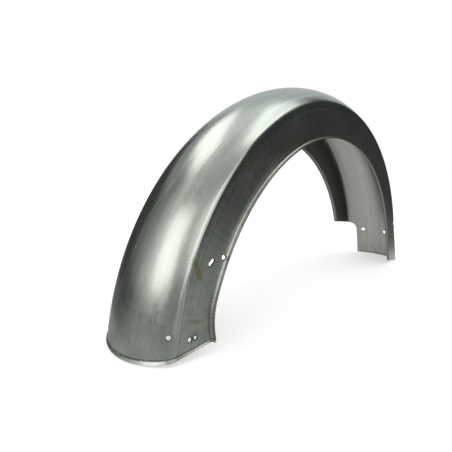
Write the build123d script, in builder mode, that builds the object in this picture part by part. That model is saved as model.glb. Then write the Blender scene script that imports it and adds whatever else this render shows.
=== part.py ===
"""Rear fender of a motorcycle: one pressed steel sheet that stands on its tail and its front tongue.

Millimetres. +X points to the front of the machine, +Y to its left, +Z up. The floor is z = 0.
The sheet follows a circle round the wheel's axle, which lies a little below the floor.
Angles round the arch are counted in degrees at the axle, from the front over the top to the tail.
"""
import os
from math import asin, cos, degrees, radians, sin, sqrt, tan

from build123d import *

# The sheet and its section, measured on the outer face
sheet = 1.2                 # thickness of the steel
crown_radius = 340.0        # from the axle to the top of the crown
crown_width = 106.5         # from crease to crease
crown_rise = 22.6           # height of the crown's arc above its creases
crease_bend = 7.0           # radius of the bend between crown and side
side_depth = 48.0           # height of each side, from the crease to its open edge
lip_width = 4.9             # the lip turned outwards along each open edge
lip_fold = 1.5              # how much of its corner the fold cuts off

# How the arch stands, and how many sections each of its two ends is drawn through
axle_drop = 27.8            # the axle's depth below the floor
end_sections = 5

# Tail: the sheet is trimmed on a slant, and its edge is turned out all round
tail_slope = 8.2            # degrees that the trimmed edge rises towards the wheel
tail_lip = 4.7              # length of the turned edge at the middle of the crown
tail_lip_out = 2.2          # how far it stands out from the crown
tail_lip_taper = 2.2        # degrees by which it narrows towards the open edges

# Tail: the sides spread a little, and their lips open with them
tail_spread = 6.4           # how far each open edge stands out
tail_spread_arc = 12.0      # degrees of the arch that spread
tail_lip_relax = 30.0       # degrees by which the lip along the open edge opens

# Front: the crown is trimmed level with the floor; the right side stands off a little
front_spread = 5.2          # how far it stands off at the floor
front_spread_arc = 14.0     # degrees of the arch that stand off
front_slope = 9.5           # degrees that its trimmed end rises from the crease towards the wheel

# Front: the left side is cut away beside the tongue
cut_height = 68.4           # height of the cut above the floor, at the crease
cut_slope = 6.8             # degrees that it rises towards the wheel
cut_corner = 12.0           # radius in its corner
tongue_reach = 35.0         # from the middle to the tongue's left edge, at the floor
tongue_lean = 2.9           # degrees by which that edge leans outwards

# Two bolt holes in the tongue
tongue_hole = 6.5           # diameter
tongue_hole_spacing = 48.7
tongue_hole_height = 53.9   # above the floor

# Stay holes at the tail: a large and a small one in each side, and one in each edge of the crown
stay_hole = 5.5             # diameter
stay_hole_back = 4.2        # degrees before the tail's end
stay_hole_rise = 27.8       # from the open edge
pilot_hole = 4.5            # diameter
pilot_hole_back = 4.5       # degrees before the tail's end
pilot_hole_rise = 20.1      # from the open edge
crown_hole = 5.5            # diameter
crown_hole_back = 4.9       # degrees before the tail's end
crown_hole_inset = 4.8      # from the crease

# Bracket holes in each side, above the stay holes: a long one and a round one beside the lip
bracket_angle = 154.1       # round the arch
bracket_hole = 5.0          # width of the long hole
bracket_hole_travel = 5.2   # between the centres of its two ends
bracket_hole_turn = 38.0    # degrees that it climbs towards the front
bracket_hole_rise = 20.5    # from the open edge
edge_hole = 6.0             # diameter
edge_hole_angle = 151.9     # round the arch
edge_hole_rise = 4.2        # from the open edge

# Clip slit in the right side, just above the lip
slit_angle = 109.5          # round the arch
slit_width = 2.4
slit_length = 7.4
slit_rise = 1.4             # from the open edge to the slit

# Radii round the axle
crease_radius = crown_radius - crown_rise
edge_radius = crease_radius - side_depth
lip_radius = crown_radius + tail_lip_out

# The crown meets the floor in front; behind, the turned edge stands on it
floor_angle = degrees(asin(axle_drop / crown_radius))
lip_angle = 180 - degrees(asin(axle_drop / lip_radius))
tail_angle = lip_angle - degrees(tail_lip / crown_radius)
tail_tilt = 180 + tail_slope - tail_angle
lip_tilt = 180 + tail_slope + tail_lip_taper - lip_angle

# Between these angles the section stays the same
arch_start = floor_angle + front_spread_arc
arch_stop = tail_angle - tail_spread_arc

# The axle is placed so that the arch is centred between its two ends
front_reach = sqrt(crown_radius**2 - axle_drop**2)
tail_reach = sqrt(lip_radius**2 - axle_drop**2)
axle_x = (tail_reach - front_reach) / 2

# Radius of the crown's arc, and a length that reaches past the whole width
crown_arc = ((crown_width / 2) ** 2 + crown_rise**2) / (2 * crown_rise)
past_width = 2 * crown_width


def ramp(angle, start, stop):
    """Nothing up to the start, growing ever faster to 1 at the stop."""
    return max((angle - start) / (stop - start), 0.0) ** 1.5


def arch_point(radius, angle):
    """A point in the middle plane, by its distance from the axle and its angle round the arch."""
    turn = radians(angle)
    return Vector(axle_x + radius * cos(turn), 0, radius * sin(turn) - axle_drop)


def section_plane(radius, angle, tilt=0.0):
    """A plane across the arch, with its origin on the crown and its y axis away from the axle."""
    turn = radians(angle + tilt)
    return Plane(arch_point(radius, angle), x_dir=(0, 1, 0), z_dir=(sin(turn), 0, -cos(turn)))


def depth_below_crown(radius, tilt):
    """How deep under the crown's top a tilted section meets a smaller radius."""
    turn = radians(tilt)
    return crown_radius * cos(turn) - sqrt(radius**2 - (crown_radius * sin(turn)) ** 2)


def side_corners(side, crease, edge, lip_turn):
    """The corners of one side: its crease, its open edge and the tip of its lip."""
    down = (edge - crease).normalized()
    outwards = Vector(-side * down.Y, side * down.X)
    lip = down * cos(radians(lip_turn)) + outwards * sin(radians(lip_turn))
    return [crease, edge, edge + lip * lip_width]


def sheet_section(plane, tilt, stand_off=0.0, open_up=0.0, turned_out=0.0):
    """The sheet cut across: the crown's arc, two bends, two sides and two lips, one sheet thick."""
    crease_depth = depth_below_crown(crease_radius, tilt) + turned_out / 2
    edge_depth = depth_below_crown(edge_radius, tilt)
    lip_turn = 90 - tail_lip_relax * open_up
    corners = {}
    for side, shift in ((-1, stand_off), (1, 0.0)):
        crease_y = crown_width / 2 + shift + turned_out
        edge_y = crease_y + tail_spread * open_up
        crease = Vector(side * crease_y, -crease_depth)
        edge = Vector(side * edge_y, -edge_depth)
        corners[side] = side_corners(side, crease, edge, lip_turn)
    with BuildSketch(plane) as section:
        with BuildLine() as outer_face:
            Polyline(*reversed(corners[-1]))
            ThreePointArc(corners[-1][0], (0, 0), corners[1][0])
            Polyline(*corners[1])
            fillet(outer_face.vertices().sort_by(Axis.Y)[-2:], crease_bend)
            chamfer(outer_face.vertices().sort_by(Axis.Y)[:4].sort_by(Axis.X)[1:3], lip_fold)
            offset(amount=sheet, kind=Kind.INTERSECTION, side=Side.LEFT)
        make_face()
    return section.sketch


def arch_section(angle):
    """The section at an angle round the arch: it stands off in front, and leans and spreads at the tail."""
    stand_off = front_spread * ramp(-angle, -arch_start, -floor_angle)
    open_up = ramp(angle, arch_stop, tail_angle)
    tilt = tail_tilt * open_up
    return sheet_section(section_plane(crown_radius, angle, tilt), tilt, stand_off, open_up)


def sections_between(start, stop):
    """The sections that one end of the sheet is drawn through, evenly spaced round the arch."""
    step = (stop - start) / (end_sections - 1)
    return [arch_section(start + step * index) for index in range(end_sections)]


def turned_section():
    """The tip of the tail's turned edge, which stands on the floor at the middle of the crown."""
    plane = section_plane(lip_radius, lip_angle, lip_tilt)
    return sheet_section(plane, tail_tilt, open_up=1.0, turned_out=tail_lip_out)


def crown_hole_plane(side):
    """A plane square to the crown near its edge, for a hole drilled straight through."""
    across = section_plane(crown_radius, tail_angle - crown_hole_back)
    reach = crown_width / 2 - crown_hole_inset
    lean = asin(reach / crown_arc)
    centre = across.from_local_coords((side * reach, crown_arc * (cos(lean) - 1), 0))
    return Plane(centre, z_dir=across.y_dir * cos(lean) + across.x_dir * side * sin(lean))


def side_spot(angle, rise):
    """A spot on a side, seen square to it, by its angle round the arch and its rise from the edge."""
    spot = arch_point(edge_radius + rise, angle)
    return (spot.X, spot.Z)


with BuildPart() as rear_fender:
    # The pressed sheet: one section swung round the axle
    axle = Axis((axle_x, 0, -axle_drop), (0, -1, 0))
    revolve(arch_section(arch_start), axis=axle, revolution_arc=arch_stop - arch_start)

    # Its front, from the height of the axle, and its tail, up to the slanted trim
    loft(sections=sections_between(0, arch_start))
    loft(sections=sections_between(arch_stop, tail_angle))

    # The turned edge round the tail
    loft(sections=[arch_section(tail_angle), turned_section()], ruled=True)

    # The front is trimmed: the crown along the floor, the right side on a slant above it
    trim_x = axle_x + sqrt(crease_radius**2 - axle_drop**2)
    trim_rise = crown_width * tan(radians(front_slope))
    with BuildSketch(Plane.XZ):
        with BuildLine():
            Polyline(
                (trim_x + crown_width, 0),
                (trim_x, 0),
                (trim_x - crown_width, trim_rise),
                (trim_x - crown_width, -crown_width),
                (trim_x + crown_width, -crown_width),
                close=True,
            )
        make_face()
    extrude(amount=past_width, both=True, mode=Mode.SUBTRACT)

    # The left side is cut away beside the tongue
    cut_x = axle_x + sqrt(crease_radius**2 - (cut_height + axle_drop) ** 2)
    cut_turn = radians(cut_slope)
    cut_plane = Plane((cut_x, 0, 0), x_dir=(0, 1, 0), z_dir=(cos(cut_turn), 0, -sin(cut_turn)))
    lean = tan(radians(tongue_lean))
    with BuildSketch(cut_plane) as cut_away:
        with BuildLine():
            Polyline(
                (tongue_reach - crown_width * lean, -crown_width),
                (tongue_reach + cut_height * lean, cut_height),
                (past_width, cut_height),
                (past_width, -crown_width),
                close=True,
            )
        make_face()
        fillet(cut_away.vertices().group_by(Axis.Y)[-1].sort_by(Axis.X)[0], cut_corner)
    extrude(amount=crown_width, both=True, mode=Mode.SUBTRACT)

    # Bolt holes through the tongue
    with BuildSketch(Plane.YZ.offset(cut_x - crown_rise)):
        with Locations((0, tongue_hole_height)):
            with GridLocations(tongue_hole_spacing, 0, 2, 1):
                Circle(tongue_hole / 2)
    extrude(amount=crown_width, mode=Mode.SUBTRACT)

    # Stay holes and bracket holes, straight through both sides
    with BuildSketch(Plane.XZ):
        with Locations(side_spot(tail_angle - stay_hole_back, stay_hole_rise)):
            Circle(stay_hole / 2)
        with Locations(side_spot(tail_angle - pilot_hole_back, pilot_hole_rise)):
            Circle(pilot_hole / 2)
        with Locations(side_spot(bracket_angle, bracket_hole_rise)):
            SlotCenterToCenter(bracket_hole_travel, bracket_hole, rotation=bracket_hole_turn)
        with Locations(side_spot(edge_hole_angle, edge_hole_rise)):
            Circle(edge_hole / 2)
    extrude(amount=past_width, both=True, mode=Mode.SUBTRACT)

    # The clip slit, through the right side alone
    with BuildSketch(Plane.XZ):
        with Locations(side_spot(slit_angle, slit_rise + slit_length / 2)):
            SlotOverall(slit_length, slit_width, rotation=slit_angle)
    extrude(amount=past_width, mode=Mode.SUBTRACT)

    # Stay holes through the edges of the crown
    for side in (-1, 1):
        with BuildSketch(crown_hole_plane(side)):
            Circle(crown_hole / 2)
        extrude(amount=crown_rise, both=True, mode=Mode.SUBTRACT)

rear_fender.part.label = "rear_fender"
os.makedirs("parts", exist_ok=True)
export_step(rear_fender.part, "parts/rear_fender.step")
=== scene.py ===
# %% [markdown]
# A motorcycle rear fender of bare steel, pressed from one sheet.
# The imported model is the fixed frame: its node gives the place and the size, and this script gives the looks.
# Lengths are written in millimetres, as a sheet-metal worker would note them, and turned into metres in the mesh.

# %% Load the frame
import math

import bpy
import numpy as np
from mathutils import Matrix, Vector


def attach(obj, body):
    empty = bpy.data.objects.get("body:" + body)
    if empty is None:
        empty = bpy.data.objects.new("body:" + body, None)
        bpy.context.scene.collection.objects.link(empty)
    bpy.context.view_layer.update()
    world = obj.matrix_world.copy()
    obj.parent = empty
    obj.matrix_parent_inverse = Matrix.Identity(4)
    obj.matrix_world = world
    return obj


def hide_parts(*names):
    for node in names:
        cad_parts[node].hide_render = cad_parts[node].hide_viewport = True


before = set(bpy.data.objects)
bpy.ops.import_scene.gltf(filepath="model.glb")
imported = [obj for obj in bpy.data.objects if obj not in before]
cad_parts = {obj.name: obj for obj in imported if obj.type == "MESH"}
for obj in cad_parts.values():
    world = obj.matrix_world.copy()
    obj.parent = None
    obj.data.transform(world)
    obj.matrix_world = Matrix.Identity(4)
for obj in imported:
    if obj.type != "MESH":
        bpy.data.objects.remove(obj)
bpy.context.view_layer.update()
MM = 0.001

# %% [markdown]
# The camera stands behind the tail and to the right of it, at about two thirds of the arch's height.
# It could be aimed by hand with a Track To constraint. Here its place, turn and focal length were fitted to the
# outline, the creases and the holes, so the pieces fall where the photograph has them.
# The small shift is the fender's own offset in the picture.

# %% Camera
camera_spot = (-0.59628, -0.35881, 0.21979)
camera_yaw, camera_pitch, camera_roll = (math.radians(v) for v in (37.13, 9.98, 2.41))
camera_lens, camera_shift = 34.85, -0.0553
forward = Vector((math.cos(camera_pitch) * math.cos(camera_yaw),
                  math.cos(camera_pitch) * math.sin(camera_yaw),
                  -math.sin(camera_pitch)))
level = Vector((math.sin(camera_yaw), -math.cos(camera_yaw), 0.0))
right = math.cos(camera_roll) * level + math.sin(camera_roll) * level.cross(forward)
upwards = right.cross(forward)
turn_matrix = Matrix((right, upwards, -forward)).transposed().to_4x4()
camera = bpy.data.objects.new("camera", bpy.data.cameras.new("camera"))
bpy.context.scene.collection.objects.link(camera)
camera.matrix_world = Matrix.Translation(camera_spot) @ turn_matrix
camera.data.lens = camera_lens
camera.data.shift_x = camera_shift
bpy.context.scene.camera = camera
print("camera at", camera_spot, "lens", camera_lens)

# %% [markdown]
# The fender's section is one line: a crown on an arc, a bend on each side, two flat sides and two lips.
# A profile could be swept along a curve, but the section leans and spreads towards the tail.
# So the whole sheet is one function of two parameters: the angle round the arch and the place across the section.
# The angle starts at the front, level with the axle, and ends at the tail. All lengths of the sheet come first.

# %% Sizes of the sheet
sheet = 1.2
axle_drop = 27.8
crown_radius, crown_width, crown_rise = 340.0, 106.5, 22.6
crease_bend, tail_bend_more = 11.0, 12.0
side_depth, tail_side_more = 48.0, 3.4
lip_width, lip_fold, tail_lip_relax = 4.9, 2.4, -4.0
tail_slope, tail_spread, tail_spread_arc = 8.2, 6.4, 12.0
tail_lip, tail_lip_out, tail_lip_taper = 4.7, 2.2, 2.2
front_spread, front_spread_arc, front_slope = 5.2, 14.0, 9.5
crease_radius = crown_radius - crown_rise
edge_radius = crease_radius - side_depth
lip_radius = crown_radius + tail_lip_out
floor_angle = math.degrees(math.asin(axle_drop / crown_radius))
lip_angle = 180 - math.degrees(math.asin(axle_drop / lip_radius))
tail_angle = lip_angle - math.degrees(tail_lip / crown_radius)
tail_tilt = 180 + tail_slope - tail_angle
lip_tilt = 180 + tail_slope + tail_lip_taper - lip_angle
axle_x = (math.sqrt(lip_radius**2 - axle_drop**2) - math.sqrt(crown_radius**2 - axle_drop**2)) / 2
print("arch from", round(floor_angle, 2), "to", round(tail_angle, 2), "degrees")


# %% [markdown]
# On the real fender every corner of the section is a bend of the sheet, with a radius.
# A Bevel modifier could round them, but it leaves its own seams in the reflections.
# So each corner is a true arc, worked out with the rest of the line by a few small helpers.

# %% Helpers for lines in a plane
def ramp(angle, start, stop):
    """Nothing up to the start, growing ever faster to 1 at the stop: the share of the way to the power 1.5."""
    return np.maximum((angle - start) / (stop - start), 0) ** 1.5


def depth_below_crown(radius, tilt):
    """How deep under the crown's top a tilted section meets a smaller radius round the axle, by Pythagoras."""
    turn = np.radians(tilt)
    return crown_radius * np.cos(turn) - np.sqrt(radius**2 - (crown_radius * np.sin(turn)) ** 2)


def unit(v):
    """The vectors divided by their lengths."""
    return v / np.linalg.norm(v, axis=-1, keepdims=True)


def cross(u, v):
    """The cross product of plane vectors."""
    return u[..., 0] * v[..., 1] - u[..., 1] * v[..., 0]


def round_corner(start, corner, stop, half_turn, t):
    """A circular arc from start to stop inside a corner: a rational Bezier whose weight is cos(half the turn)."""
    weight, t = np.cos(half_turn)[..., None], t[..., None]
    a, b, c = (1 - t) ** 2, 2 * weight * t * (1 - t), t**2
    return (a * start + b * corner + c * stop) / (a + b + c)


print("crease", round(float(depth_below_crown(crease_radius, 0.0)), 2), "mm below the crown's top")


# %% The section across the sheet
def section(across, crease_left, crease_right, crease_depth, spread, edge_depth, lip_turn, bend):
    """Width and height of the outer face in the section's plane.

    The size of `across` runs over the crown (0 to 1), the bend (to 2), the side (to 3), the fold (to 4) and
    the lip (to 5); its sign picks the left (+) or the right (-). The crown is the circle through both creases
    and the section's origin; each corner is rounded by an arc; the rest is straight.
    """
    hand = np.where(across < 0, -1.0, 1.0)
    place = np.abs(across)
    middle_y = (crease_left - crease_right) / 2
    middle_h = -(crease_left * crease_right + crease_depth**2) / (2 * crease_depth)
    radius = np.hypot(middle_y, middle_h)
    crease_y = np.where(hand > 0, crease_left, crease_right)
    crease = np.stack([hand * crease_y, -crease_depth], -1)
    edge = np.stack([hand * (crease_y + spread), -edge_depth], -1)
    down = unit(edge - crease)
    outwards = np.stack([-hand * down[..., 1], hand * down[..., 0]], -1)

    def on_crown(turn):
        return np.stack([middle_y + radius * np.sin(turn), middle_h + radius * np.cos(turn)], -1)

    def along_crown(turn):
        return hand[..., None] * np.stack([np.cos(turn), -np.sin(turn)], -1)

    crease_turn = np.arctan2(hand * crease_y - middle_y, -crease_depth - middle_h)
    corner_turn = np.arccos(np.clip((along_crown(crease_turn) * down).sum(-1), -1, 1))
    bend_turn = crease_turn - hand * bend * np.tan(corner_turn / 2) / radius
    top_turn = np.arctan2(-middle_y, -middle_h)
    bend_start, bend_line = on_crown(bend_turn), along_crown(bend_turn)
    reach = (cross(crease - bend_start, down) / cross(bend_line, down))[..., None]
    bend_corner = bend_start + reach * bend_line
    bend_stop = bend_corner + reach * down
    half_turn = np.arccos(np.clip((bend_line * down).sum(-1), -1, 1)) / 2

    fold_turn = np.radians(lip_turn)
    lip = down * np.cos(fold_turn)[..., None] + outwards * np.sin(fold_turn)[..., None]
    fold_start, fold_stop = edge - lip_fold * down, edge + lip_fold * lip
    share = [np.clip(place - n, 0, 1) for n in range(5)]
    parts = [
        on_crown(top_turn + (bend_turn - top_turn) * share[0]),
        round_corner(bend_start, bend_corner, bend_stop, half_turn, share[1]),
        bend_stop + (fold_start - bend_stop) * share[2][..., None],
        round_corner(fold_start, edge, fold_stop, fold_turn / 2, share[3]),
        fold_stop + (lip_width - lip_fold) * lip * share[4][..., None],
    ]
    which = np.clip(np.ceil(place) - 1, 0, 4)[..., None]
    return np.select([which == n for n in range(5)], parts)


pair = np.ones(2)
lips = section(np.array([-5.0, 5.0]), crown_width / 2 * pair, crown_width / 2 * pair, crown_rise * pair, 0 * pair,
               (crown_rise + side_depth) * pair, 90 * pair, crease_bend * pair)
print("lip to lip", round(float(np.ptp(lips[:, 0])), 1), "mm")

# %% [markdown]
# The press carries that section round the wheel. In front the right side stands off the wheel, and at the tail the
# section leans over and spreads. The trimmed tail isn't quite straight and the right bend has a small dent.
# Lattices or sculpting could bend a straight channel this way; formulas keep every bend exact.

# %% The section carried round the arch
dent_angle, dent_place, dent_depth, dent_reach = 19.9, -1.6, 2.2, 2.8
dent_place_length, dent_back = 7, 0.6
tail_wave, tail_wave_low, tail_wave_soft, tail_wave_arc = 0.022, -26.0, 10.0, 9


def stand(radius, angle, tilt, local):
    """Points of a section that stands across the arch: out from the axle, then along the section's own height."""
    turn, lean = np.radians(angle), np.radians(angle + tilt)
    return np.stack([axle_x + radius * np.cos(turn) + local[..., 1] * np.cos(lean),
                     local[..., 0],
                     radius * np.sin(turn) - axle_drop + local[..., 1] * np.sin(lean)], -1)


def trim_wave(y):
    """How far the trimmed tail rises at a place across: a V with a soft foot, lowest on the right of the middle."""
    off_low = y - tail_wave_low
    return tail_wave * (np.sqrt(off_low**2 + tail_wave_soft**2) - tail_wave_soft)


def outer_face(angle, across):
    """The sheet's outer face: the section, swung round the axle.

    In front the right side stands off; at the tail the section leans over and spreads. The trimmed tail rises
    by its wave, and the dent is a bell curve that pushes the right bend in and back.
    """
    angle, across = np.broadcast_arrays(np.asarray(angle, float), np.asarray(across, float))
    stand_off = front_spread * ramp(-angle, -floor_angle - front_spread_arc, -floor_angle)
    open_up = np.minimum(ramp(angle, tail_angle - tail_spread_arc, tail_angle), 1)
    tilt = tail_tilt * open_up
    half = np.full_like(angle, crown_width / 2)
    local = section(across, half, half + stand_off, depth_below_crown(crease_radius, tilt),
                    tail_spread * open_up, depth_below_crown(edge_radius, tilt) + tail_side_more * open_up,
                    90 - tail_lip_relax * open_up, crease_bend + tail_bend_more * open_up)
    lift = np.degrees(trim_wave(local[..., 0]) / crown_radius) * ramp(angle, tail_angle - tail_wave_arc, tail_angle)
    points = stand(crown_radius, angle - lift, tilt, local)
    away = np.hypot(np.radians(angle - dent_angle) * crease_radius, dent_place_length * (across - dent_place))
    dent = dent_depth * np.exp(-((away / dent_reach) ** 2))
    points[..., 0] -= dent * dent_back
    points[..., 1] += dent
    return points


print("crown's top at", outer_face(np.array([90.0]), np.array([0.0]))[0].round(1), "mm")

# %% [markdown]
# Holes and trimmed ends could be cut with Boolean modifiers, which leave long thin faces that spoil reflections.
# Here each cut is a distance: above zero where steel stays. Grid corners next to the line where it is zero slide
# along the sheet onto that line, faces beyond it are left out, and the cut edge is clean.
# The holes come first: round and long ones in the sides, two in the crown's edges and two in the tongue.

# %% Holes
no_cut = 99.0


def side_spot(angle, rise):
    """A spot on a side, seen square to it, by its angle round the arch and its rise from the open edge."""
    turn = math.radians(angle)
    return axle_x + (edge_radius + rise) * math.cos(turn), (edge_radius + rise) * math.sin(turn) - axle_drop


def slot_ends(middle, travel, degrees_up):
    """The two ends of a slot's middle line, half its travel either way along its slant."""
    dx, dz = (travel / 2 * f(math.radians(degrees_up)) for f in (math.cos, math.sin))
    return (middle[0] - dx, middle[1] - dz), (middle[0] + dx, middle[1] + dz)


def from_slot(x, z, ends, radius):
    """Distance from a round-ended slot: to the nearest point of its middle line, less its radius."""
    (ax, az), (bx, bz) = ends
    ux, uz = bx - ax, bz - az
    share = np.clip(((x - ax) * ux + (z - az) * uz) / max(ux * ux + uz * uz, 1e-9), 0, 1)
    return np.hypot(x - ax - share * ux, z - az - share * uz) - radius


# Each side hole: its middle, the travel and slant of a slot, and its radius.
slit_angle = 109.5
side_holes = {
    "stay_hole": (side_spot(tail_angle - 4.2, 27.8), 0.0, 0.0, 2.75),
    "pilot_hole": (side_spot(tail_angle - 4.5, 20.1), 0.0, 0.0, 2.25),
    "bracket_slot": (side_spot(154.1, 20.5), 5.2, 38.0, 2.5),
    "edge_hole": (side_spot(151.9, 4.2), 0.0, 0.0, 3.0),
}
clip_slit = (side_spot(slit_angle, 5.1), 5.0, slit_angle, 1.2)
tongue_hole_y, tongue_hole_z, tongue_hole_radius = 24.35, 53.9, 3.5
crown_hole_back, crown_hole_inset, crown_hole_radius = 4.9, 4.8, 2.75
crown_arc = ((crown_width / 2) ** 2 + crown_rise**2) / (2 * crown_rise)
crown_hole_y = crown_width / 2 - crown_hole_inset
crown_hole_lean = math.asin(crown_hole_y / crown_arc)


def from_crown_hole(points, hand):
    """Distance from a hole drilled square through the crown's edge: from its axis, less its radius."""
    turn = math.radians(tail_angle - crown_hole_back)
    out = np.array([math.cos(turn), 0.0, math.sin(turn)])
    axis = out * math.cos(crown_hole_lean) + np.array([0.0, hand * math.sin(crown_hole_lean), 0.0])
    rise = crown_radius - crown_arc * (1 - math.cos(crown_hole_lean))
    centre = np.array([axle_x, 0.0, -axle_drop]) + rise * out + np.array([0.0, hand * crown_hole_y, 0.0])
    offset = points - centre
    return np.linalg.norm(offset - (offset @ axis)[..., None] * axis, axis=-1) - crown_hole_radius


def off_holes(points, across):
    """Distance of each place from the nearest hole's edge, below zero inside a hole."""
    x, y, z = points[..., 0], points[..., 1], points[..., 2]
    hand, place = np.sign(across), np.abs(across)
    on_side, on_crown = place > 1.6, place < 1.9

    def where(allowed, distance):
        return np.where(allowed, distance, no_cut)

    def from_side_hole(middle, travel, slant, radius):
        return from_slot(x, z, slot_ends(middle, travel, slant), radius)

    from_tongue_hole = np.hypot(np.abs(y) - tongue_hole_y, z - tongue_hole_z) - tongue_hole_radius
    cuts = [where(on_side, from_side_hole(*hole)) for hole in side_holes.values()]
    cuts.append(where(on_side & (hand < 0), from_side_hole(*clip_slit)))
    cuts += [where(on_crown & (hand == s), from_crown_hole(points, s)) for s in (-1, 1)]
    cuts.append(where(on_crown & (x > 0), from_tongue_hole))
    return np.min(cuts, axis=0)


print("holes in each side", list(side_holes), "and a slit in the right one")

# %% [markdown]
# The front is trimmed along the floor, and its left side is cut away beside the tongue with a rounded corner.
# Knife Project could do it in the viewport. The same kind of distance as for the holes keeps its edge as clean.

# %% Trimmed front
cut_height, cut_slope, cut_corner, tongue_reach, tongue_lean = 68.4, 6.8, 12.0, 35.0, 2.9
front_end = 60


def off_trims(points, angle):
    """Distance of each place from the trimmed front: the sloped floor line and the cut-out beside the tongue."""
    x, y, z = points[..., 0], points[..., 1], points[..., 2]
    trim_x = axle_x + math.sqrt(crease_radius**2 - axle_drop**2)
    above_floor = z - np.maximum(trim_x - x, 0) * math.tan(math.radians(front_slope))
    slant = math.radians(cut_slope)
    cut_x = axle_x + math.sqrt(crease_radius**2 - (cut_height + axle_drop) ** 2)
    height = (x - cut_x) * math.sin(slant) + z * math.cos(slant)
    beside = y - tongue_reach - math.tan(math.radians(tongue_lean)) * height
    below = cut_height - height
    cornered = cut_corner - np.hypot(cut_corner - beside, cut_corner - below)
    inside = np.where((beside < cut_corner) & (below < cut_corner), cornered, np.minimum(beside, below))
    return np.where(angle < front_end, np.minimum(above_floor, -inside), no_cut)


def steel_left(angle, across):
    """How far each place is from the nearest cut: above zero on steel that stays, below zero where it is cut away."""
    points = outer_face(angle, across)
    return np.minimum(off_holes(points, across), off_trims(points, angle))


print("left side cut away up to", cut_height, "mm, tongue", tongue_reach, "mm to the left of the middle")


# %% [markdown]
# The grid has a row every few millimetres round the arch, and closer rows where holes and trims need them.
# A Subdivision Surface could smooth a coarse cage, but it would round off the holes and shrink the bends.

# %% The grid
first_angle, row_step, fine_step, root_back = 3.2, 0.62, 0.15, 0.3
fine_places = [(0, 19), (108.3, 110.7), (150.2, 157.0), (167.8, 175)]
column_counts, crown_closing = [20, 10, 22, 5, 1], 1.2


def spaced_rows(start, stop, coarse, fine, places):
    """Angles whose spacing is coarse, and fine near the given places: even steps of the summed density."""
    angle = np.linspace(start, stop, 20000)
    step = np.full_like(angle, coarse)
    for low, high in places:
        step = np.where((angle > low) & (angle < high), fine, step)
    count = np.concatenate([[0], np.cumsum(np.diff(angle) / step[1:])])
    return np.interp(np.linspace(0, count[-1], int(count[-1]) + 1), count, angle)


def spaced_columns(counts):
    """Places across the section: each stretch from crown to lip split evenly, mirrored to both sides.

    On the crown the columns close up a little towards the bend, by a power of what is left to it.
    """
    half = np.concatenate([[0.0]] + [n + np.arange(1, c + 1) / c for n, c in enumerate(counts)])
    half = np.where(half < 1, 1 - np.maximum(1 - half, 0) ** crown_closing, half)
    return np.concatenate([-half[:0:-1], half])


rows = spaced_rows(first_angle, tail_angle - root_back, row_step, fine_step, fine_places)
columns = spaced_columns(column_counts)
print("grid", len(rows), "rows by", len(columns), "columns")


# %% [markdown]
# A drilled hole has a clean round edge, so the corners of the grid that lie nearest to a cut are moved onto it.
# Shrinkwrap could pull them there too, but it doesn't keep them on the sheet's own curve.

# %% Sliding the grid onto the cuts
def slopes(f, angle, across, angle_step=0.01, place_step=0.002):
    """Changes of f per unit of angle and of place across, by central differences."""
    by_angle = (f(angle + angle_step, across) - f(angle - angle_step, across)) / (2 * angle_step)
    by_across = (f(angle, across + place_step) - f(angle, across - place_step)) / (2 * place_step)
    return by_angle, by_across


def slide_to_cuts(angle, across, rounds=4, most_angle=0.2, most_place=0.3, flattest=0.05):
    """Moves the corners nearest to a cut onto it, along the sheet, by Newton steps weighted with real lengths."""
    left = steel_left(angle, across)
    chosen = np.zeros(left.shape, bool)
    for values, picked in ((left, chosen), (left.T, chosen.T)):
        a, b = values[:-1], values[1:]
        crossing, first_is_nearer = a * b < 0, np.abs(a) <= np.abs(b)
        picked[:-1] |= crossing & first_is_nearer
        picked[1:] |= crossing & ~first_is_nearer
    by_angle, by_across = slopes(outer_face, angle, across)
    long_a, long_c = (np.maximum((v**2).sum(-1), 1e-6) for v in (by_angle, by_across))
    for _ in range(rounds):
        da, dc = slopes(steel_left, angle, across)
        pull = steel_left(angle, across) / np.maximum(da**2 / long_a + dc**2 / long_c, flattest)
        move_a = np.clip(pull * da / long_a, -most_angle, most_angle)
        move_c = np.clip(pull * dc / long_c, -most_place, most_place)
        angle = np.where(chosen, angle - move_a, angle)
        across = np.where(chosen, np.clip(across - move_c, -5, 5), across)
    left = steel_left(angle, across)
    print("corners on cuts", int(chosen.sum()), "furthest off", round(float(np.abs(left[chosen]).max()), 4), "mm")
    return angle, across, np.where(chosen, 0.0, left)


grid_angle, grid_across = (g.copy() for g in np.meshgrid(rows, columns, indexing="ij"))
grid_angle, grid_across, left = slide_to_cuts(grid_angle, grid_across)


# %% [markdown]
# Round the tail the sheet's edge is turned out, which stiffens it and hides the raw cut.
# It could be a second piece bevelled onto the end, but it is the same steel, so it is a few more rows of the grid:
# a short bend at the root and then straight out to the tip. On the left it was turned less far.

# %% The turned edge round the tail
root_bend_rows, turned_rows, root_bend_share = 5, 3, 0.36
narrower_by, narrower_from, narrower_over = 0.6, -25, 80


def turned_edge(across):
    """The tip of a full turned edge: the last section, a little larger and further down, as one row of points."""
    one = np.ones_like(across)
    half = (crown_width / 2 + tail_lip_out) * one
    local = section(across, half, half, depth_below_crown(crease_radius, tail_tilt) + tail_lip_out / 2 * one,
                    tail_spread * one, (depth_below_crown(edge_radius, tail_tilt) + tail_side_more) * one,
                    (90 - tail_lip_relax) * one, (crease_bend + tail_bend_more) * one)
    return stand(lip_radius, lip_angle - np.degrees(trim_wave(local[..., 0]) / lip_radius), lip_tilt, local)


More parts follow.
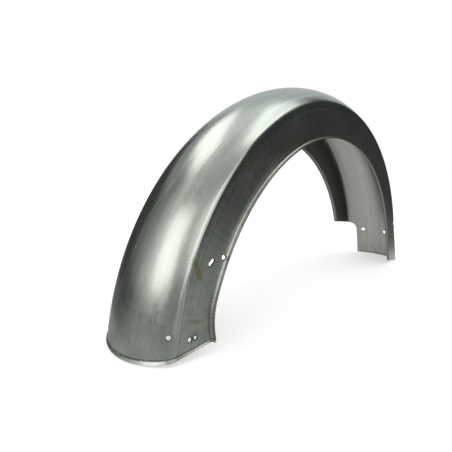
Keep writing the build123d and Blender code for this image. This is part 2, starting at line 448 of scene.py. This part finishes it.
root = outer_face(np.full_like(columns, tail_angle), columns)
tip_share = 1 - narrower_by * np.clip((root[:, 1:2] - narrower_from) / narrower_over, 0, 1)
tip = root + (turned_edge(columns) - root) * tip_share
before = outer_face(np.full_like(columns, rows[-1]), columns)
after = root + (tip - root) * root_bend_share
t = np.linspace(0, 1, root_bend_rows + 1)[1:, None, None]
root_bend = (1 - t) ** 2 * before + 2 * t * (1 - t) * root + t**2 * after
t = np.linspace(0, 1, turned_rows + 1)[1:, None, None]
outer = np.concatenate([outer_face(grid_angle, grid_across), root_bend, after + (tip - after) * t])
left = np.concatenate([left, np.full((len(outer) - len(left), len(columns)), no_cut)])
print("turned edge of", round(float(np.linalg.norm(tip - root, axis=-1).max()), 1), "mm, narrowest",
      round(float(np.linalg.norm(tip - root, axis=-1).min()), 1))

# %% [markdown]
# The inner face is the outer one moved in by the sheet's thickness along its normal, as Solidify would do.
# Done by hand, it keeps the same numbering, so walls can join the two faces at every open border.
# The fender stands on the floor, so nothing may reach below it.

# %% The inner face
middle_row, middle_column = len(rows) // 2, len(columns) // 2
normal = unit(np.cross(np.gradient(outer, axis=1), np.gradient(outer, axis=0)))
inner = outer - sheet * normal
outer[..., 2], inner[..., 2] = np.maximum(outer[..., 2], 0), np.maximum(inner[..., 2], 0)
print("crown faces up", bool(normal[middle_row, middle_column, 2] > 0),
      "lowest", round(float(outer[left >= 0, 2].min()), 3))


# %% [markdown]
# Faces are listed as whole arrays. A face that a cut crosses corner to corner is split, and the half on steel stays.
# Walls join each border edge, one that only one face uses, to the same edge of the inner face.
# The shell is then closed, so it can be printed or weighed as well as rendered.

# %% Faces of a trimmed grid
def kept_faces(left, middle):
    """Corner numbers of the faces that stay: whole quads, and the halves of quads cut through two opposite corners.

    A quad whose four corners all lie on cuts stays if its middle is on steel.
    """
    number = np.arange(left.size).reshape(left.shape)
    quads = np.stack([number[:-1, :-1], number[:-1, 1:], number[1:, 1:], number[1:, :-1]], -1).reshape(-1, 4)
    value = left.ravel()[quads]
    low, high = value.min(1), value.max(1)
    whole = quads[(low >= 0) & ((high > 0) | (middle.ravel() > 0))]
    mixed, value = quads[(low < 0) & (high > 0)], value[(low < 0) & (high > 0)]
    halves = []
    for corners in ([0, 1, 2], [1, 2, 3], [2, 3, 0], [3, 0, 1]):
        part = value[:, corners]
        halves.append(mixed[:, corners][(part.min(1) >= 0) & (part.max(1) > 0)])
    return whole, np.concatenate(halves)


def border_edges(quads, triangles):
    """Edges that one face alone uses, in that face's direction."""
    edges = [f[:, [i, (i + 1) % f.shape[1]]] for f in (quads, triangles) for i in range(f.shape[1])]
    edges = np.concatenate(edges)
    key = np.sort(edges, axis=1) @ np.array([2**32, 1])
    _, first, uses = np.unique(key, return_index=True, return_counts=True)
    return edges[first[uses == 1]]


def quad_middles(grid):
    """The mean of each quad's four corners."""
    return (grid[:-1, :-1] + grid[:-1, 1:] + grid[1:, 1:] + grid[1:, :-1]) / 4


middle_left = np.full((len(left) - 1, len(columns) - 1), no_cut)
middle_left[:len(rows) - 1] = steel_left(quad_middles(grid_angle), quad_middles(grid_across))
whole, halves = kept_faces(left, middle_left)
rim = border_edges(whole, halves)
print("whole faces", len(whole), "halves", len(halves), "border edges", len(rim))


# %% The fender's mesh
def fill_mesh(name, points, faces):
    """A mesh from an array of points and a list of face arrays, written with foreach_set."""
    mesh = bpy.data.meshes.new(name)
    corners = np.concatenate([f.ravel() for f in faces])
    sizes = np.concatenate([np.full(len(f), f.shape[1]) for f in faces])
    mesh.vertices.add(len(points))
    mesh.vertices.foreach_set("co", np.asarray(points, np.float32).ravel())
    mesh.loops.add(len(corners))
    mesh.loops.foreach_set("vertex_index", corners.astype(np.int32))
    mesh.polygons.add(len(sizes))
    mesh.polygons.foreach_set("loop_start", (np.cumsum(sizes) - sizes).astype(np.int32))
    mesh.update(calc_edges=True)
    mesh.validate()
    return mesh


def link_object(name, mesh):
    """A new object at the origin that shows a mesh or a lamp."""
    made = bpy.data.objects.new(name, mesh)
    bpy.context.scene.collection.objects.link(made)
    return made


shift = left.size
walls = np.stack([rim[:, 1], rim[:, 0], rim[:, 0] + shift, rim[:, 1] + shift], -1)
faces = [whole, halves, whole[:, ::-1] + shift, halves[:, ::-1] + shift, walls]
points = np.concatenate([outer.reshape(-1, 3), inner.reshape(-1, 3)])
used, renumbered = np.unique(np.concatenate([f.ravel() for f in faces]), return_inverse=True)
ends = np.cumsum([f.size for f in faces])[:-1]
faces = [part.reshape(-1, f.shape[1]) for part, f in zip(np.split(renumbered.ravel(), ends), faces)]
mesh = fill_mesh("rear_fender_sheet", points[used] * MM, faces)
fender = link_object("rear_fender_sheet", mesh)
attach(fender, "root")
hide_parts("rear_fender")
print("points", len(used), "triangles", 2 * (len(whole) * 2 + len(halves)) + 2 * len(walls))

# %% [markdown]
# Grain and stains follow the sheet, so the mesh carries a map of it: metres along the arch and metres across.
# An unwrap would do for a picture, but a map in metres lets every mark be placed and sized as on the real sheet.

# %% The map of the sheet
step_along = np.linalg.norm(np.diff(outer[:, middle_column], axis=0), axis=-1)
step_across = np.linalg.norm(np.diff(outer, axis=1), axis=-1)
along_line = np.concatenate([[0.0], np.cumsum(step_along)])
past_rows = np.radians(rows[-1]) * crown_radius + along_line[len(rows):, None] - along_line[len(rows) - 1]
along = np.concatenate([np.radians(grid_angle) * crown_radius, np.repeat(past_rows, len(columns), axis=1)])
sum_across = np.concatenate([np.zeros((len(outer), 1)), np.cumsum(step_across, axis=1)], axis=1)
over = sum_across - sum_across[:, middle_column:middle_column + 1]
sheet_map = np.stack([along, over], -1).reshape(-1, 2) * MM
corner_point = np.empty(len(mesh.loops), np.int32)
mesh.loops.foreach_get("vertex_index", corner_point)
both_faces = np.concatenate([sheet_map, sheet_map])[used]
map_layer = mesh.uv_layers.new(name="sheet_map")
map_layer.data.foreach_set("uv", both_faces[corner_point].astype(np.float32).ravel())
print("map along", [round(float(v), 3) for v in (along.min() * MM, along.max() * MM)],
      "across", [round(float(v), 3) for v in (over.min() * MM, over.max() * MM)])

# %% [markdown]
# Three more values go with each point: the face it is on, how far it is from a drilled hole, which is where grime and
# a painted shade gather, and its place across the section. Vertex groups could hold them too, but only between 0 and
# 1.
# The holes of the tongue are clean, so they count as far away.

# %% Values on the points
grime_and_shade_reach, tongue_from, sharp_angle = 20.0, 200, 40


def carry(name, values):
    """Stores one value for each of the mesh's points under a name that materials can read."""
    stored = mesh.attributes.new(name, "FLOAT", "POINT")
    stored.data.foreach_set("value", values.astype(np.float32))


# Distance to the nearest hole, capped; grime and a painted shade gather close to the holes.
hole_distance = np.full(outer.shape[:2], grime_and_shade_reach)
hole_distance[:len(rows)] = np.clip(off_holes(outer[:len(rows)], grid_across), 0, grime_and_shade_reach)
hole_distance[outer[..., 0] > tongue_from] = grime_and_shade_reach
place_across = np.concatenate([np.abs(grid_across), np.tile(np.abs(columns), (len(outer) - len(rows), 1))])
carry("outside", used < shift)
carry("to_hole", np.tile(hole_distance.ravel(), 2)[used])
carry("section_place", np.tile(place_across.ravel(), 2)[used])
mesh.polygons.foreach_set("use_smooth", np.ones(len(mesh.polygons), bool))
mesh.set_sharp_from_angle(angle=math.radians(sharp_angle))
print("values stored at", len(used), "points")


# %% [markdown]
# Materials could be wired by hand in the Shader Editor, but sums of many layers get lost among the links.
# Shader maths reads like sums when a small class wraps a socket and adds the nodes itself.

# %% Sockets that can be added and multiplied
class Value:
    """A socket of a node tree; + - * / make Math nodes."""

    def __init__(self, tree, socket=None):
        self.tree, self.socket = tree, socket

    def node(self, kind, settings=None, output=0, **sockets):
        """Adds a node of a type: its settings first, then values or links by socket name, or i0, i1 by number."""
        made = self.tree.nodes.new(kind)
        for name, value in (settings or {}).items():
            setattr(made, name, value)
        for name, value in sockets.items():
            target = made.inputs[int(name[1:]) if name[1:].isdigit() else name.replace("_", " ")]
            if isinstance(value, Value):
                self.tree.links.new(value.socket, target)
            else:
                target.default_value = value
        return Value(self.tree, made.outputs[output])

    def feed(self, shader, name):
        """Links this value to one of a shader's sockets."""
        self.tree.links.new(self.socket, shader.inputs[name])

    def maths(self, operation, other=0.0):
        """A Math node on this value and another."""
        return self.node("ShaderNodeMath", {"operation": operation}, i0=self, i1=other)

    def __add__(self, other):
        return self.maths("ADD", other)

    def __sub__(self, other):
        return self.maths("SUBTRACT", other)

    def __mul__(self, other):
        return self.maths("MULTIPLY", other)

    def __truediv__(self, other):
        return self.maths("DIVIDE", other)

    def __rsub__(self, other):
        return self.node("ShaderNodeMath", {"operation": "SUBTRACT"}, i0=other, i1=self)

    __radd__, __rmul__ = __add__, __mul__

    def between(self, low, high):
        """0 below low, 1 above high, smooth in between; the other way round where low is above high."""
        return self.node("ShaderNodeMapRange", {"interpolation_type": "SMOOTHSTEP"}, i0=self, i1=low, i2=high)

    def window(self, low, high, soft):
        """1 between low and high, falling to 0 over a soft margin outside them."""
        return self.between(low - soft, low) * self.between(high + soft, high)

    def blend(self, colour_a, colour_b):
        """A colour between two, by this value."""
        return self.node("ShaderNodeMix", {"data_type": "RGBA"}, output=2, i0=self, i6=colour_a, i7=colour_b)


def new_material(name):
    """A material with a Principled BSDF, as a value to build on and the shader node."""
    material = bpy.data.materials.new(name)
    material.use_nodes = True
    tree = material.node_tree
    return material, Value(tree), tree.nodes["Principled BSDF"]


steel, make, shader = new_material("bare_steel")
print("material", steel.name)

# %% [markdown]
# Bare sheet steel is a metal with no paint, so its look is all in its reflections.
# Rolling and brushing leave grain along the arch, the press leaves fine cross marks on the sides, and handling leaves
# stains, scuffs and grime round the holes; the grime there and some lines are darkened further as painted shade, and
# a few lines are painted highlights. A painted texture could show them, but noise on the map has no seams and stays
# sharp. The first step names the places: u runs along the arch from the front, v across from the middle.

# %% Bare steel: places on the sheet
tail_zone, tail_lip_zone, side_zone, inner_side_zone = (0.93, 1.0), (0.950, 0.995), (0.0610, 0.0650), (0.0630, 0.0690)


def point_value(name):
    """A value stored on the mesh's points."""
    return make.node("ShaderNodeAttribute", {"attribute_name": name}, output="Fac")


sheet_uv = make.node("ShaderNodeUVMap", {"uv_map": "sheet_map"})
u = make.node("ShaderNodeSeparateXYZ", i0=sheet_uv)
v = make.node("ShaderNodeSeparateXYZ", output=1, i0=sheet_uv)
outside, to_hole, section_place = (point_value(name) for name in ("outside", "to_hole", "section_place"))
across = v.maths("ABSOLUTE")
at_tail = u.between(*tail_zone)
at_tail_lip = u.between(*tail_lip_zone)
on_side = across.between(*side_zone)
on_lip = section_place.between(3.0, 4.0) * (1.0 - 0.8 * at_tail_lip)
# A painted highlight along each bend, fading out towards the tail.
bend_highlight = across.between(0.0535, 0.0590) * across.between(0.0635, 0.0605) * (1.0 - 0.9 * at_tail)
brushed = 1.0 - 0.5 * at_tail
print("tail zone", tail_zone, "side zone", side_zone)


# %% [markdown]
# Each kind of mark is noise, stretched one way: long and fine for grain and scratches, short and wide for stains.
# Wave textures could draw lines too, but theirs are as even as corduroy.

# %% Bare steel: layers of noise
def stretched_noise(scale_along, scale_across, detail=3.0, rough=0.5, start=0.0):
    """Noise on the sheet's map, stretched by separate scales along the arch and across it, about 0."""
    place = make.node("ShaderNodeCombineXYZ", i0=u * scale_along + start, i1=v * scale_across)
    noise = make.node("ShaderNodeTexNoise", {"noise_dimensions": "2D"},
                      Vector=place, Scale=1.0, Detail=detail, Roughness=rough)
    return noise - 0.5


grain = stretched_noise(14.0, 900.0, detail=2.0)
streaks = stretched_noise(4.0, 150.0, detail=4.0, rough=0.6, start=3.0)
bands = stretched_noise(1.6, 46.0, start=7.0)
clouds = stretched_noise(16.0, 26.0, detail=4.0, rough=0.6)
blots = stretched_noise(150.0, 170.0, detail=4.0, rough=0.65, start=11.0)
drips = stretched_noise(90.0, 60.0, rough=0.6, start=13.0)
dents = stretched_noise(24.0, 90.0, detail=2.0, start=29.0)
mottle = stretched_noise(42.0, 46.0, detail=4.0, rough=0.6, start=31.0)
rule_lines = stretched_noise(9.0, 330.0, detail=2.0, start=43.0)
cross_lines = stretched_noise(240.0, 24.0, detail=2.0, start=41.0)
scuffs = stretched_noise(26.0, 420.0, rough=0.6, start=5.0)
scratches = stretched_noise(9.0, 640.0, detail=1.0, start=17.0).between(0.16, 0.24)
print("nodes after the layers", len(make.tree.nodes))

# %% [markdown]
# Folding over a die leaves ripples across the sides, 2.5 mm apart, most of all above the slot.
# A few single lines lie along the bends: a fine line on each side, a painted shade under each crease, a painted
# highlight along the bend at the tail, and painted shade lines at the crown's edges near the top. One long hair
# scratch runs down the crown, and painted shade darkens the root of the turned edge and the lips' folds at the tail.
# They could be modelled, but they are far thinner than the sheet's own faces.
# So each is a narrow window round a place on the map, and most are broken up by one of the layers.

# %% Bare steel: press marks and lines
ripple_pitch, side_middle = 0.0025, 0.085
below_side = across - side_middle
wobble = stretched_noise(60.0, 60.0, detail=2.0)
ripple_place = u + 0.04 * below_side + 5.0 * below_side * below_side
ripple = (ripple_place * (2 * math.pi / ripple_pitch) + 5.0 * wobble + 4.0 * drips).maths("SINE")
mark_zone = across.window(0.0755, 0.099, 0.006) * (0.12 + 0.88 * u.window(0.815, 0.935, 0.03))
mark_gaps = stretched_noise(14.0, 30.0, detail=2.0, start=23.0).between(-0.25, 0.12)
press_marks = ripple * mark_zone * mark_gaps
fold_line = across.window(0.0714, 0.0724, 0.0012) * u.window(0.78, 0.93, 0.06) * (0.5 + 2.0 * streaks)
# A painted shade just under each crease, on the sides.
crease_shade_line = across.window(0.0640, 0.0652, 0.0014)
# A thin painted highlight along the bend near the tail, where the bend's own highlight fades.
bend_highlight_place = across - 0.0585 - 0.0053 * u.between(0.940, 0.985)
bend_line = bend_highlight_place.window(-0.0003, 0.0003, 0.0006) * u.window(0.935, 1.03, 0.02)
# Painted shade lines along the crown's edges near the top, broken up by fine lines.
crown_edge_shade_lines = across.window(0.0470, 0.0560, 0.0040) * u.window(0.50, 0.69, 0.06) * (0.7 + 1.5 * rule_lines)
# The lips' folds at the tail are painted darker, a painted shade.
lip_root_shade = section_place.window(2.98, 3.6, 0.05) * at_tail_lip
# A painted shade along the root of the turned edge, wider to the left and broken up by blots.
root_u = float(along[len(rows) + 2, middle_column]) * MM
root_width = 0.0003 + 0.0024 * v.between(-0.03, 0.045)
root_line = u.between(root_u - 0.0015, root_u - 0.0008) * u.between(root_u + 0.0007 + root_width, root_u + root_width)
root_shade = root_line * (blots * 2.0 + 0.8).between(0.1, 0.8)
hair_bow = (u - 0.888) / 0.02
hair_v = 0.155 * (u - 0.843) + 0.004 * (0.0 - hair_bow * hair_bow).maths("EXPONENT")
hairline = (v - hair_v).window(-0.0004, 0.0004, 0.0006) * u.window(0.845, 0.97, 0.01)
inner_line = u.window(0.1364, 0.1373, 0.0006) * v.window(-0.040, 0.008, 0.008)
print("turned edge starts at", round(root_u, 4), "m along the map")


# %% [markdown]
# The layers add up to a tone, a little above or below 1, that makes the steel's colour lighter or darker.
# Each layer could have a colour of its own, but the streaks of bare steel differ in shade alone.
# The crown is a little cooler than the sides. The sides and the inside are the same steel painted darker, as painted
# shade, and the lips are rubbed bright and carry a painted highlight.

# %% Bare steel: tone
def toned(colour, tone):
    """A colour made lighter or darker all through: each channel times the tone."""
    return make.node("ShaderNodeVectorMath", {"operation": "SCALE"}, i0=colour, i3=tone)


crown_front, crown_top, crown_tail = (0.440, 0.470, 0.442, 1), (0.420, 0.477, 0.453, 1), (0.445, 0.475, 0.432, 1)
# The sides' steel is the crown's, a little more olive and painted darker as painted shade.
side_shaded_steel, rubbed_and_highlit_lip_steel = (0.350, 0.366, 0.335, 1), (0.52, 0.54, 0.50, 1)
# The inside is the same steel painted darker, its sides darkest: painted shade.
inner_crown_shaded_steel, inner_side_shaded_steel = (0.330, 0.342, 0.312, 1), (0.205, 0.212, 0.192, 1)
outer_tone = 1.0 + brushed * (0.14 * streaks + 0.16 * bands + 0.10 * grain + 0.10 * scratches)
outer_tone = outer_tone + 0.16 * clouds + 0.10 * blots
outer_tone = outer_tone + at_tail * (0.45 * mottle + 0.28 * scuffs + 0.12 * blots - 0.06)
outer_tone = outer_tone + on_side * brushed * (0.42 * cross_lines + 0.34 * rule_lines)
outer_tone = outer_tone - on_side * (0.22 * fold_line + 0.14 * crease_shade_line)
outer_tone = outer_tone + 0.36 * press_marks + 0.62 * hairline + 0.14 * bend_highlight + 0.34 * bend_line
outer_tone = outer_tone - 0.20 * crown_edge_shade_lines - 0.40 * lip_root_shade
inner_stains = u.between(0.055, 0.030) * (blots + drips).between(-0.05, 0.35)
inner_tone = 1.0 + 0.45 * bands + 0.34 * streaks + 0.14 * clouds + 0.16 * grain + 0.10 * scratches
inner_tone = inner_tone - 0.18 * inner_line - 0.60 * inner_stains
crown_colour = u.between(0.30, 0.52).blend(crown_front, crown_top)
crown_colour = u.between(0.55, 0.85).blend(crown_colour, crown_tail)
# The sides take the darker, shaded steel, less of it towards the tail.
outer_colour = (on_side * (1.0 - 0.75 * at_tail)).blend(crown_colour, side_shaded_steel)
# The lips' lighter steel is rubbed wear and a painted highlight, with less of it at the tail.
outer_colour = on_lip.blend(outer_colour, rubbed_and_highlit_lip_steel)
inner_colour = across.between(*inner_side_zone).blend(inner_crown_shaded_steel, inner_side_shaded_steel)
steel_colour = outside.blend(toned(inner_colour, inner_tone), toned(outer_colour, outer_tone))
print("steel from", inner_side_shaded_steel[:3], "inside to", rubbed_and_highlit_lip_steel[:3], "on the lips")


# %% [markdown]
# Stains are single places: old oil beside the bend, rubbed patches above the tail, a breath of rust on the crown, and
# grime round the drilled holes, made darker than grime alone as a painted shade. They could be painted by hand in
# Texture Paint, on an image. Here a stain is an ellipse on the map whose edge is eaten by noise, and grime follows
# the distance to a hole; the painted shade in the root of the turned edge joins that grime.

# %% Bare steel: stains
def patch(u_mid, v_mid, u_half, v_half, lean=0.0, ragged=3.0):
    """A soft-edged blot: the squared distance in an ellipse that leans, roughened by fine noise, and thresholded."""
    along_it = (u - u_mid - (v - v_mid) * lean) / u_half
    over_it = (v - v_mid) / v_half
    return (along_it * along_it + over_it * over_it + ragged * (drips + 0.6 * blots)).between(1.6, -0.2)


olive_brown, rubbed_grey, rust_brown = (0.238, 0.232, 0.105, 1), (0.200, 0.212, 0.190, 1), (0.41, 0.355, 0.29, 1)
# The near-black of grime and of painted shade.
grime_and_shade_black = (0.014, 0.013, 0.009, 1)
olive = 0.70 * patch(0.9285, -0.0690, 0.0075, 0.0105, lean=-0.62, ragged=4.0)
olive = olive + 0.45 * patch(0.9925, -0.083, 0.0035, 0.015, lean=-0.1)
olive = olive + 0.3 * patch(0.804, -0.0925, 0.007, 0.006) + 0.5 * patch(1.013, -0.086, 0.004, 0.004)
rubbed = 0.7 * patch(0.9895, -0.0345, 0.016, 0.0045) + 0.6 * patch(1.0000, -0.0465, 0.005, 0.0030)
rubbed = rubbed + 0.7 * patch(0.9900, -0.0207, 0.012, 0.0016)
rubbed = rubbed * (0.45 + 3.6 * scuffs) + 0.35 * patch(0.9860, 0.0015, 0.007, 0.0060)
rust = 0.32 * patch(0.8575, -0.0266, 0.011, 0.006) + 0.2 * patch(0.846, -0.034, 0.008, 0.006)
# Grime round the holes, dark enough to be partly painted shade, with the painted shade in the turned edge's root.
grime_and_shade = (0.92 * to_hole.between(1.5, 0.3)).maths("MAXIMUM", 0.8 * root_shade * outside)
for stain, stain_colour in ((olive, olive_brown), (rubbed, rubbed_grey), (rust, rust_brown)):
    steel_colour = (stain * outside).blend(steel_colour, stain_colour)
steel_colour = grime_and_shade.blend(steel_colour, grime_and_shade_black)
steel_colour.feed(shader, "Base Color")
print("stains mixed over the steel; nodes", len(make.tree.nodes))

# %% [markdown]
# Gloss makes brushed steel: the crown mirrors softly, the sides and the inside are duller, and stains duller still.
# An anisotropic shader could stretch the highlights. Here the grain is fine relief, so it follows every streak.
# The slow dents are a few hundredths of a millimetre deep and make the long highlights swim a little.

# %% Bare steel: gloss and relief
gloss_base, inside_duller, metal_lost_to_grime_and_shade = 0.25, 0.10, 0.7
polish = gloss_base + 0.12 * on_side - 0.05 * bend_highlight + brushed * (0.12 * streaks + 0.08 * grain)
polish = polish + 0.12 * clouds + 0.05 * blots + 0.06 * at_tail + 0.25 * (olive * outside) + 0.3 * grime_and_shade
polish = polish + (inside_duller - inside_duller * outside)
polish.feed(shader, "Roughness")
(1.0 - metal_lost_to_grime_and_shade * grime_and_shade).feed(shader, "Metallic")
relief = brushed * (7e-6 * grain + 6e-6 * scratches) + 1.6e-4 * dents + 4e-6 * press_marks + 0.8e-6 * blots
make.node("ShaderNodeBump", Height=relief, Strength=1.0, Distance=1.0).feed(shader, "Normal")
mesh.materials.append(steel)
print("steel nodes", len(make.tree.nodes))


# %% [markdown]
# Bare metal shows the room around it, so the studio matters as much as the finish.
# The floor is pale and keeps the fender's shadow. Floor and background are white to the camera and in mirrors, by the
# kind of ray that meets them, and shed less light than that on the fender, so nothing is bleached.

# %% Floor and background
room_light, floor_glow, floor_grey, floor_half = 0.8, 0.5, 0.62, 12


def seen_directly(make):
    """1 for camera, mirror and see-through rays, 0 for the rays that light other things."""
    camera_ray, mirror_ray, glass_ray = (make.node("ShaderNodeLightPath", output=f"Is {kind} Ray")
                                         for kind in ("Camera", "Glossy", "Transmission"))
    return (camera_ray + mirror_ray + glass_ray).maths("MINIMUM", 1.0)


def flat_mesh(name, low, high, height):
    """A level rectangle between two corners."""
    x, y = np.array([low[0], high[0], high[0], low[0]]), np.array([low[1], low[1], high[1], high[1]])
    return fill_mesh(name, np.stack([x, y, np.full(4, height)], -1), [np.array([[0, 1, 2, 3]])])


def set_sockets(shader, **values):
    """Sets uniform values on a shader's own sockets, by name."""
    for name, value in values.items():
        shader.inputs[name.replace("_", " ")].default_value = value


world = bpy.data.worlds.new("studio")
world.use_nodes = True
bpy.context.scene.world = world
background = world.node_tree.nodes["Background"]
set_sockets(background, Color=(1, 1, 1, 1))
(room_light + (1 - room_light) * seen_directly(Value(world.node_tree))).feed(background, "Strength")

floor = link_object("floor", flat_mesh("floor", (-floor_half, -floor_half), (floor_half, floor_half), 0.0))
white, white_make, white_shader = new_material("white_floor")
set_sockets(white_shader, Base_Color=(floor_grey, floor_grey, floor_grey, 1), Roughness=0.9,
            Specular_IOR_Level=0.0, Emission_Strength=1.0)
glow = seen_directly(white_make).blend((0, 0, 0, 1), (floor_glow, floor_glow, floor_glow, 1))
glow.feed(white_shader, "Emission Color")
floor.data.materials.append(white)
print("floor and background are white; room light", room_light)


# %% [markdown]
# A photographer puts dark flags and grey reflectors round bare metal, because a white room alone would wash it out.
# Large dim lamps could do it, but they would light the floor too. These panels are seen by the steel's reflections
# alone: each is a piece of a sphere with one tone, from its azimuth (0 is the front, 90 the left) and its elevation.

# %% Panels for the steel to mirror
cool_white = (0.965, 1.0, 0.99, 1.0)


def sphere_piece(name, azimuth, elevation, distance=4.0):
    """A piece of a sphere round the fender: azimuth along one parameter, elevation along the other."""
    turn = np.radians(np.linspace(*azimuth, 17))[:, None]
    rise = np.radians(np.linspace(*elevation, 9))[None]
    x, y = np.cos(turn) * np.cos(rise), np.sin(turn) * np.cos(rise)
    points = distance * np.stack(np.broadcast_arrays(x, y, np.sin(rise)), -1)
    number = np.arange(turn.size * rise.size).reshape(turn.size, rise.size)
    quads = np.stack([number[:-1, :-1], number[1:, :-1], number[1:, 1:], number[:-1, 1:]], -1).reshape(-1, 4)
    return fill_mesh(name, points.reshape(-1, 3), [quads])


def only_mirrored(panel_mesh, tone):
    """An object with one tone that throws no shadow and stays out of the picture itself."""
    panel = link_object(panel_mesh.name, panel_mesh)
    finish, _, panel_shader = new_material(panel.name)
    set_sockets(panel_shader, Base_Color=(0, 0, 0, 1), Specular_IOR_Level=0.0,
                Emission_Color=cool_white, Emission_Strength=tone)
    panel_mesh.materials.append(finish)
    panel.visible_camera = panel.visible_diffuse = panel.visible_shadow = False


panels = {
    "flag_right": ((-78, 6), (-3, 45), 0.05),
    "flag_right_high": ((-78, -22), (45, 57), 0.20),
    "flag_front_high": ((-22, 14), (45, 53), 0.32),
    "flag_left": ((60, 108), (-3, 30), 0.05),
    "flag_left_high": ((60, 108), (30, 47), 0.37),
    "flag_left_back": ((108, 124), (8, 36), 0.21),
    "flag_left_back_high": ((108, 124), (36, 56), 0.38),
    "flag_left_tail": ((124, 135), (8, 58), 0.30),
    "flag_tail_far": ((135, 143), (8, 59), 0.43),
    "flag_tail_middle": ((143, 151), (8, 60), 0.66),
    "flag_tail_near": ((151, 160), (8, 60), 0.84),
    "flag_tail_edge": ((160, 170), (8, 60), 0.90),
    "low_right": ((200, 238), (8, 14), 0.20),
    "low_left": ((108, 150), (-3, 8), 0.10),
    "low_tail": ((150, 238), (-3, 9), 0.22),
    "gap_right": ((207, 234), (14, 47), 0.60),
    "high_tail": ((158, 268), (47, 64), 0.50),
    "ceiling_tail": ((150, 262), (64, 86), 0.72),
    "front_wall": ((6, 60), (15, 62), 0.68),
}
for name, (azimuth, elevation, tone) in panels.items():
    only_mirrored(sphere_piece(name, azimuth, elevation), tone)
print("panels", len(panels))


# %% [markdown]
# The lower half of the fender mirrors the floor, which looks darker further off and on the side away from the lamps.
# A darker floor would do that too, but it would show in the picture. Mats give the steel that view in its reflections
# alone: pieces of rings round the tail, in four tones from close to far, three strips to the right of the front, and
# one mat to its left.

# %% Mats on the floor
def ring_piece(name, azimuth, radii, centre=(-0.27, 0.0), height=0.0003):
    """A flat piece of a ring on the floor: azimuth along one parameter, radius along the other."""
    turn = np.radians(np.linspace(*azimuth, 17))[:, None]
    radius = np.linspace(*radii, 2)[None]
    x, y = centre[0] + radius * np.cos(turn), centre[1] + radius * np.sin(turn)
    points = np.stack(np.broadcast_arrays(x, y, height), -1)
    number = np.arange(turn.size * radius.size).reshape(turn.size, radius.size)
    quads = np.stack([number[:-1, :-1], number[:-1, 1:], number[1:, 1:], number[1:, :-1]], -1).reshape(-1, 4)
    return fill_mesh(name, points.reshape(-1, 3), [quads])


rings = {"close": (0.05, 0.18), "near": (0.18, 0.45), "middle": (0.45, 1.2), "far": (1.2, 4.0)}
ring_mats = {
    "mat_left": ((40, 108), 0.55, 0.22, 0.10, 0.06),
    "mat_left_back": ((108, 130), 0.42, 0.20, 0.07, 0.05),
    "mat_tail_left": ((130, 147), 0.38, 0.28, 0.15, 0.12),
    "mat_tail": ((147, 213), 0.46, 0.43, 0.28, 0.22),
    "mat_tail_right": ((213, 245), 0.44, 0.40, 0.20, 0.14),
    "mat_right": ((245, 325), 0.50, 0.46, 0.34, 0.20),
}
flat_mats = {
    "mat_front_right_near": ((0.1, -4.0), (0.45, -0.115), 0.0004, 0.14),
    "mat_front_right_middle": ((0.45, -4.0), (1.2, -0.115), 0.0004, 0.12),
    "mat_front_right_far": ((1.2, -4.0), (4.0, -0.115), 0.0004, 0.045),
    "mat_front_left": ((0.05, 0.09), (0.50, 0.36), 0.0005, 0.08),
}
for name, (azimuth, *tones) in ring_mats.items():
    for (ring, radii), tone in zip(rings.items(), tones):
        only_mirrored(ring_piece(f"{name}_{ring}", azimuth, radii), tone)
for name, (low, high, height, tone) in flat_mats.items():
    only_mirrored(flat_mesh(name, low, high, height), tone)
print("mats", len(ring_mats) * len(rings) + len(flat_mats))


# %% [markdown]
# Four soft boxes draw the long highlights on the crown: one behind the tail, one at its right, and two overhead.
# Sun or point lamps would give hard glints. An area lamp shows as an even bright field, like a real soft box,
# and its radiance, not its power, is what the steel mirrors, so the lamps are set by radiance.

# %% Soft boxes
warm_white = (1.0, 0.975, 0.935)


def soft_box(name, azimuth, elevation, width, height, radiance, roll=0.0, distance=3.8):
    """An area lamp aimed at the fender's middle; its power is its radiance times pi times its area."""
    lamp = bpy.data.lights.new(name, "AREA")
    lamp.shape, lamp.size, lamp.size_y = "RECTANGLE", width, height
    lamp.energy = radiance * math.pi * width * height
    lamp.color = warm_white
    turn, rise = math.radians(azimuth), math.radians(elevation)
    spot = distance * Vector((math.cos(rise) * math.cos(turn), math.cos(rise) * math.sin(turn), math.sin(rise)))
    aim = (-spot).to_track_quat("-Z", "Y").to_matrix().to_4x4() @ Matrix.Rotation(math.radians(roll), 4, "Z")
    box = link_object(name, lamp)
    box.matrix_world = Matrix.Translation(spot) @ aim


soft_boxes = {
    "box_tail": (184.5, 28, 1.95, 2.5, 1.25),
    "box_right": (-121, 28, 2.5, 2.4, 0.80),
    "box_top_right": (-36, 69, 2.4, 1.5, 1.25, -10),
    "box_top_left": (100, 63, 2.8, 1.4, 1.4, 28),
}
for name, values in soft_boxes.items():
    soft_box(name, *values)
print("soft boxes", list(soft_boxes))

# %% [markdown]
# The visual model keeps the imported one's size.
# Colours go to the picture as they are, with the Standard view.

# %% Colour view
bpy.context.scene.view_settings.view_transform = "Standard"
